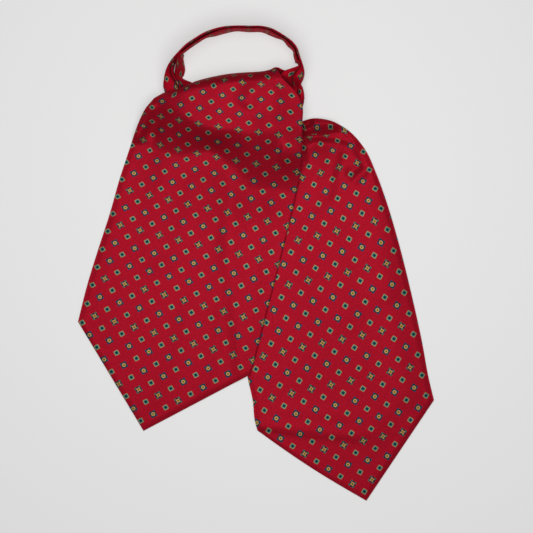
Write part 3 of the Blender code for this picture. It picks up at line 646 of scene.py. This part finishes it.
RIGHT_PLEATS = [
    (0.17, 0.2, [
        (38.9, 174.6, 37.9, 36.9, 174.2, 37.6, 0.2), (40.4, 169.9, 33.2, 38.4, 169.4, 32.8, 0.4),
        (41.2, 166.4, 29.2, 35.6, 166.0, 28.6, 1.2), (41.3, 163.5, 27.2, 33.1, 163.0, 26.4, 2.0),
        (40.3, 158.9, 25.4, 31.2, 159.8, 24.6, 2.4), (38.4, 154.7, 20.5, 31.9, 155.7, 18.5, 1.8),
        (37.6, 151.0, 11.0, 33.3, 151.0, 10.0, 0.8),
    ]),
    (0.73, 0.7, [
        (36.5, 174.2, 37.5, 34.5, 174.0, 37.0, 0.2), (37.9, 169.3, 32.4, 36.5, 170.1, 32.8, 0.4),
        (35.1, 165.8, 28.2, 29.6, 167.5, 29.4, 1.2), (32.6, 162.8, 26.2, 23.6, 165.2, 27.4, 1.6),
        (30.7, 159.6, 24.8, 19.8, 161.2, 24.4, 1.8), (31.4, 155.4, 17.5, 21.6, 156.6, 15.5, 1.2),
        (32.8, 151.1, 9.5, 25.6, 152.0, 8.0, 0.6),
    ]),
    (0.4, 0.1, [
        (37.9, 155.3, 15.5, 35.9, 153.9, 15.0, 0.4), (39.6, 152.2, 17.4, 36.3, 150.1, 16.4, 0.8),
        (40.7, 148.3, 18.4, 36.2, 147.1, 17.2, 1.3), (41.2, 144.0, 18.4, 36.4, 143.3, 17.2, 1.5),
        (41.0, 139.8, 17.6, 36.0, 139.0, 16.4, 1.4), (39.9, 135.6, 16.0, 35.2, 134.7, 15.0, 1.0),
        (37.4, 131.3, 13.4, 34.8, 130.5, 13.0, 0.6),
    ]),
    (0.9, 0.5, [
        (35.4, 153.7, 14.0, 31.0, 153.1, 13.0, 0.6), (35.7, 150.1, 15.6, 30.4, 149.3, 13.6, 0.9),
        (35.6, 147.1, 15.8, 30.8, 146.3, 13.8, 0.9), (35.8, 143.3, 15.6, 31.2, 141.6, 13.6, 0.6),
        (35.4, 139.0, 14.8, 31.4, 138.0, 13.2, 0.5),
    ]),
]


def lofts_piece(name, outline, lofts, loft_rows):
    """Pleats lofted side by side, each closed underneath and at both ends, to replace a CAD node."""
    shape = bmesh.new()
    cloth = shape.loops.layers.uv.new("cloth")
    for place in lofts:
        made = bmesh.ops.create_grid(shape, x_segments=len(outline), y_segments=loft_rows, size=0.5)
        printed = {}
        for vertex in made["verts"]:
            index = int(round((vertex.co.x + 0.5) * len(outline)))
            x, y, z, u, v = place(index, vertex.co.y + 0.5)
            vertex.co = (x * MM, y * MM, z * MM)
            printed[vertex] = (u, v)
        for vertex in made["verts"]:
            for loop in vertex.link_loops:
                loop[cloth].uv = printed[vertex]
    bmesh.ops.remove_doubles(shape, verts=shape.verts, dist=MERGED * MM)
    bmesh.ops.holes_fill(shape, edges=shape.edges, sides=0)
    bmesh.ops.recalc_face_normals(shape, faces=shape.faces)
    piece = sewn(shape, name + "_cloth")
    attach(piece, "root")
    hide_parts(name)
    return piece


band_at = curve_through(NECKBAND)
band_run = np.linalg.norm(np.diff(np.array(NECKBAND)[:, :2], axis=0), axis=1).sum()
girth = np.hypot(np.diff([row[0] for row in PLEATS]) * OUTLINE_DEPTH,
                 np.diff([row[1] for row in PLEATS]))
girth = np.concatenate(([0.0], np.cumsum(girth)))


def band_place(index, part):
    """A point of the neckband: which one of the pleats' outline, and how far along, 0 to 1."""
    out_x, out_y, in_x, in_y, plies, out_z, in_z, parted = band_at(part)
    share, height, sunk = PLEATS[index % len(PLEATS)]
    inward = np.array([in_x - out_x, in_y - out_y])
    inward = inward / np.linalg.norm(inward)
    top = np.array([out_x, out_y]) + inward * plies * share
    foot = np.array([in_x, in_y]) - inward * PRESSED * (1.0 - share)
    x, y = foot + (top - foot) * height
    z = (out_z + (in_z - out_z) * share) * (height - sunk * parted)
    round_it = BAND_PRINT[0] + girth[min(index, len(PLEATS) - 1)] * BAND_WIDTH / REPEAT
    return x, y, z, round_it, BAND_PRINT[1] + band_run * part / REPEAT


def opened_pleat(start_u, start_v, stations):
    """A pleat where it has opened, from its place on the print and its table of edges."""
    station_at = curve_through(stations)
    run = np.linalg.norm(np.diff(np.array(stations)[:, :2], axis=0), axis=1).sum()

    def place(index, part):
        out_x, out_y, out_z, in_x, in_y, in_z, dome = station_at(part)
        share, height = OPENED[index % len(OPENED)]
        width = math.hypot(in_x - out_x, in_y - out_y)
        spread = (share - 0.5) * (1.0 + FOOT_SPREAD * (1.0 - height) / width) + 0.5
        x = out_x + (in_x - out_x) * spread
        y = out_y + (in_y - out_y) * spread
        top = out_z + (in_z - out_z) * share + dome * (1.0 - (2.0 * share - 1.0) ** 2)
        wide = math.hypot(in_x - out_x, in_y - out_y, in_z - out_z) * (share - 0.5)
        down = top * (1.0 - height) * (-1.0 if index < len(OPENED) / 2 else 1.0)
        across_print = start_u + (wide * OPENED_CLOTH + down) / REPEAT
        return x, y, top * height, across_print, start_v + run * part / REPEAT

    return place


# Painted light: the neckband's and the gathers' reds are lighter copies of the blades' red, the same dye
# made brighter to make up for the light that their steep folds lose. The turned cloth and the crossing
# wear the gathers' lighter copy too.
BAND_RED_PAINTED_LIGHT, BAND_ROUGHNESS = dyed(186, 16, 42), 0.46
GATHERED_RED_PAINTED_LIGHT, GATHERED_ROUGHNESS = dyed(182, 16, 38), 0.44
band_silk = printed_silk("band_silk", BAND_RED_PAINTED_LIGHT, BAND_ROUGHNESS)
gathered_silk = printed_silk("gathered_silk", GATHERED_RED_PAINTED_LIGHT, GATHERED_ROUGHNESS)
neckband = lofts_piece("neckband", PLEATS, [band_place], BAND_ROWS)
neckband.data.materials.append(band_silk)
left_pleats = [opened_pleat(*pleat) for pleat in LEFT_PLEATS]
gather_left = lofts_piece("gather_left", OPENED, left_pleats, LEFT_ROWS)
gather_left.data.materials.append(gathered_silk)
right_pleats = [opened_pleat(*pleat) for pleat in RIGHT_PLEATS]
gather_right = lofts_piece("gather_right", OPENED, right_pleats, RIGHT_ROWS)
gather_right.data.materials.append(gathered_silk)


# Front turn: behind the right end of the roll the cloth stands up from the knot and leans out, so
# its inner side shows as a dark hollow. It is the same silk, held between the roll and the gather.

TURN_PLY = 0.9
TURN_COLUMNS = 36
TURN_ROWS = 14.0            # from its rim down to its foot
FOOT_ROWS = 8.0             # and on from there, under the knot
TURN_FOOT = 3.5             # height of its foot
FOOT_RUN, FOOT_DROP = 8.0, 1.2      # how far the cloth runs on, and how much lower it ends
TURN_CURVE = 0.8            # under 1, it leans in most just below its rim
TURN_PRINT, TURN_SLANT, TURN_START = 0.95, 0.2, 0.2     # how close, how slanted and where it starts
# Its rim: x, y and height, and how far its foot lies in.
FRONT_TURN = [
    (-5.0, 162.6, 9.0, 2.0), (-0.5, 163.2, 12.0, 2.4), (4.6, 164.0, 15.0, 2.8), (9.4, 165.2, 18.0, 3.4),
    (13.0, 167.0, 21.5, 4.0), (16.4, 168.6, 25.2, 4.6), (18.9, 168.4, 25.6, 4.8),
    (22.2, 166.9, 24.2, 4.8), (27.1, 165.2, 22.0, 4.6),
]
turn_at = curve_through(FRONT_TURN)


def turn_place(across, row):
    """A point of the turned cloth, from its rim down and on under the knot."""
    x, y, top, lean = turn_at(across)
    height = 1.0 - min(row / TURN_ROWS, 1.0)
    under = max(row - TURN_ROWS, 0.0) / FOOT_ROWS
    z = TURN_FOOT + (top - TURN_FOOT) * height
    y = y - lean * (1.0 - height) ** TURN_CURVE - FOOT_RUN * under
    across_print = x / REPEAT * TURN_PRINT - z / REPEAT * TURN_SLANT + TURN_START
    return x, y, z - FOOT_DROP * under, across_print, z / REPEAT * TURN_PRINT + x / REPEAT * TURN_SLANT


front_turn = cloth_piece("front_turn_cloth", TURN_COLUMNS, int(TURN_ROWS + FOOT_ROWS), turn_place,
                         TURN_PLY, (0, 1, 0))
front_turn.data.materials.append(gathered_silk)
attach(front_turn, "root")
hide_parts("front_turn")


# Crossing: the heart of the half knot, where both ends' necks cross in soft flattened layers,
# held by the cloth drawn over them.

CROSSING_CENTRE = (-20.0, 125.4)
CROSSING_HALF_LENGTH, CROSSING_HALF_WIDTH = 52.0, 22.0
CROSSING_TILT = 0.0175      # clockwise, seen from above
LAYER_DEPTH = 0.035         # how far its three layers are parted round the edge
CROSSING_ROOM = 2.4         # room under the front blade
shape = bmesh.new()
bmesh.ops.create_uvsphere(shape, u_segments=72, v_segments=40, radius=1.0)
shape.verts.ensure_lookup_table()
printed = []
for vertex in shape.verts:
    side = max(vertex.co.z, 0.0)
    layers = 1.0 - LAYER_DEPTH * (1.0 - math.cos(6.0 * math.pi * side))
    long_way = vertex.co.x * layers * CROSSING_HALF_LENGTH
    short_way = vertex.co.y * layers * CROSSING_HALF_WIDTH
    x = CROSSING_CENTRE[0] + long_way * math.cos(CROSSING_TILT) + short_way * math.sin(CROSSING_TILT)
    y = CROSSING_CENTRE[1] - long_way * math.sin(CROSSING_TILT) + short_way * math.cos(CROSSING_TILT)
    spread = min(math.hypot(vertex.co.x, vertex.co.y), 1.0)
    height = (front_height(x, y) - CROSSING_ROOM) * math.sqrt(1.0 - spread ** 4)
    z = height if side > 0.0 else 0.0
    vertex.co = (x * MM, y * MM, z * MM)
    printed.append((x / REPEAT, (y + z) / REPEAT))
print_on(shape, printed)
bmesh.ops.recalc_face_normals(shape, faces=shape.faces)
crossing = sewn(shape, "crossing_cloth")
crossing.data.materials.append(gathered_silk)
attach(crossing, "root")
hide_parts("crossing")


# Table, light and camera: a pale grey table top that glows a little of itself, painted light that
# lightens the shadows on it, lit softly from all round and from above, with a broad round lamp close
# over the knot, and seen from straight above.

TABLE_SIZE, TABLE_GREY, TABLE_GLOW = 12.0, 0.36, 0.43
bpy.ops.mesh.primitive_plane_add(size=TABLE_SIZE, location=(0.0, 0.0, 0.0))
table = bpy.context.active_object
table.name = "table_top"
paper = bpy.data.materials.new("pale_table")
paper.use_nodes = True
surface = paper.node_tree.nodes["Principled BSDF"]
surface.inputs["Base Color"].default_value = (TABLE_GREY, TABLE_GREY, TABLE_GREY, 1.0)
# The table's glow is painted light: it lifts the shadows that fall on it, as a light table would.
surface.inputs["Emission Color"].default_value = (1.0, 1.0, 1.0, 1.0)
surface.inputs["Emission Strength"].default_value = TABLE_GLOW
surface.inputs["Roughness"].default_value = 0.9
surface.inputs["Specular IOR Level"].default_value = 0.1
table.data.materials.append(paper)

ROOM_LIGHT = 0.15
world = bpy.data.worlds.new("studio")
bpy.context.scene.world = world
world.use_nodes = True
world.node_tree.nodes["Background"].inputs["Color"].default_value = (1.0, 1.0, 1.0, 1.0)
world.node_tree.nodes["Background"].inputs["Strength"].default_value = ROOM_LIGHT


def hung(light, place, shines):
    """Hangs a light at a place, in metres, so that it shines in a direction."""
    lamp = bpy.data.objects.new(light.name, light)
    lamp.location = place
    lamp.rotation_euler = Vector(shines).to_track_quat("-Z", "Y").to_euler()
    bpy.context.scene.collection.objects.link(lamp)


overhead = bpy.data.lights.new("overhead_lamp", "SUN")
overhead.angle = math.radians(24.0)
overhead.energy = 0.95
hung(overhead, (-0.1, 0.12, 1.4), (0.1, -0.12, -1.4))
soft_box = bpy.data.lights.new("soft_box", "AREA")
soft_box.shape = "DISK"
soft_box.size = 0.36
soft_box.energy = 2.1
hung(soft_box, (0.012, 0.085, 0.58), (0.0, 0.0, -1.0))

lens = bpy.data.cameras.new("overhead_camera")
lens.lens = 376.6
lens.sensor_width = 36.0
lens.clip_end = 50.0
camera = bpy.data.objects.new("overhead_camera", lens)
camera.location = (CAMERA_OVER[0] * MM, CAMERA_OVER[1] * MM, CAMERA_HEIGHT * MM)
bpy.context.scene.collection.objects.link(camera)
bpy.context.scene.camera = camera
bpy.context.scene.view_settings.view_transform = "Standard"
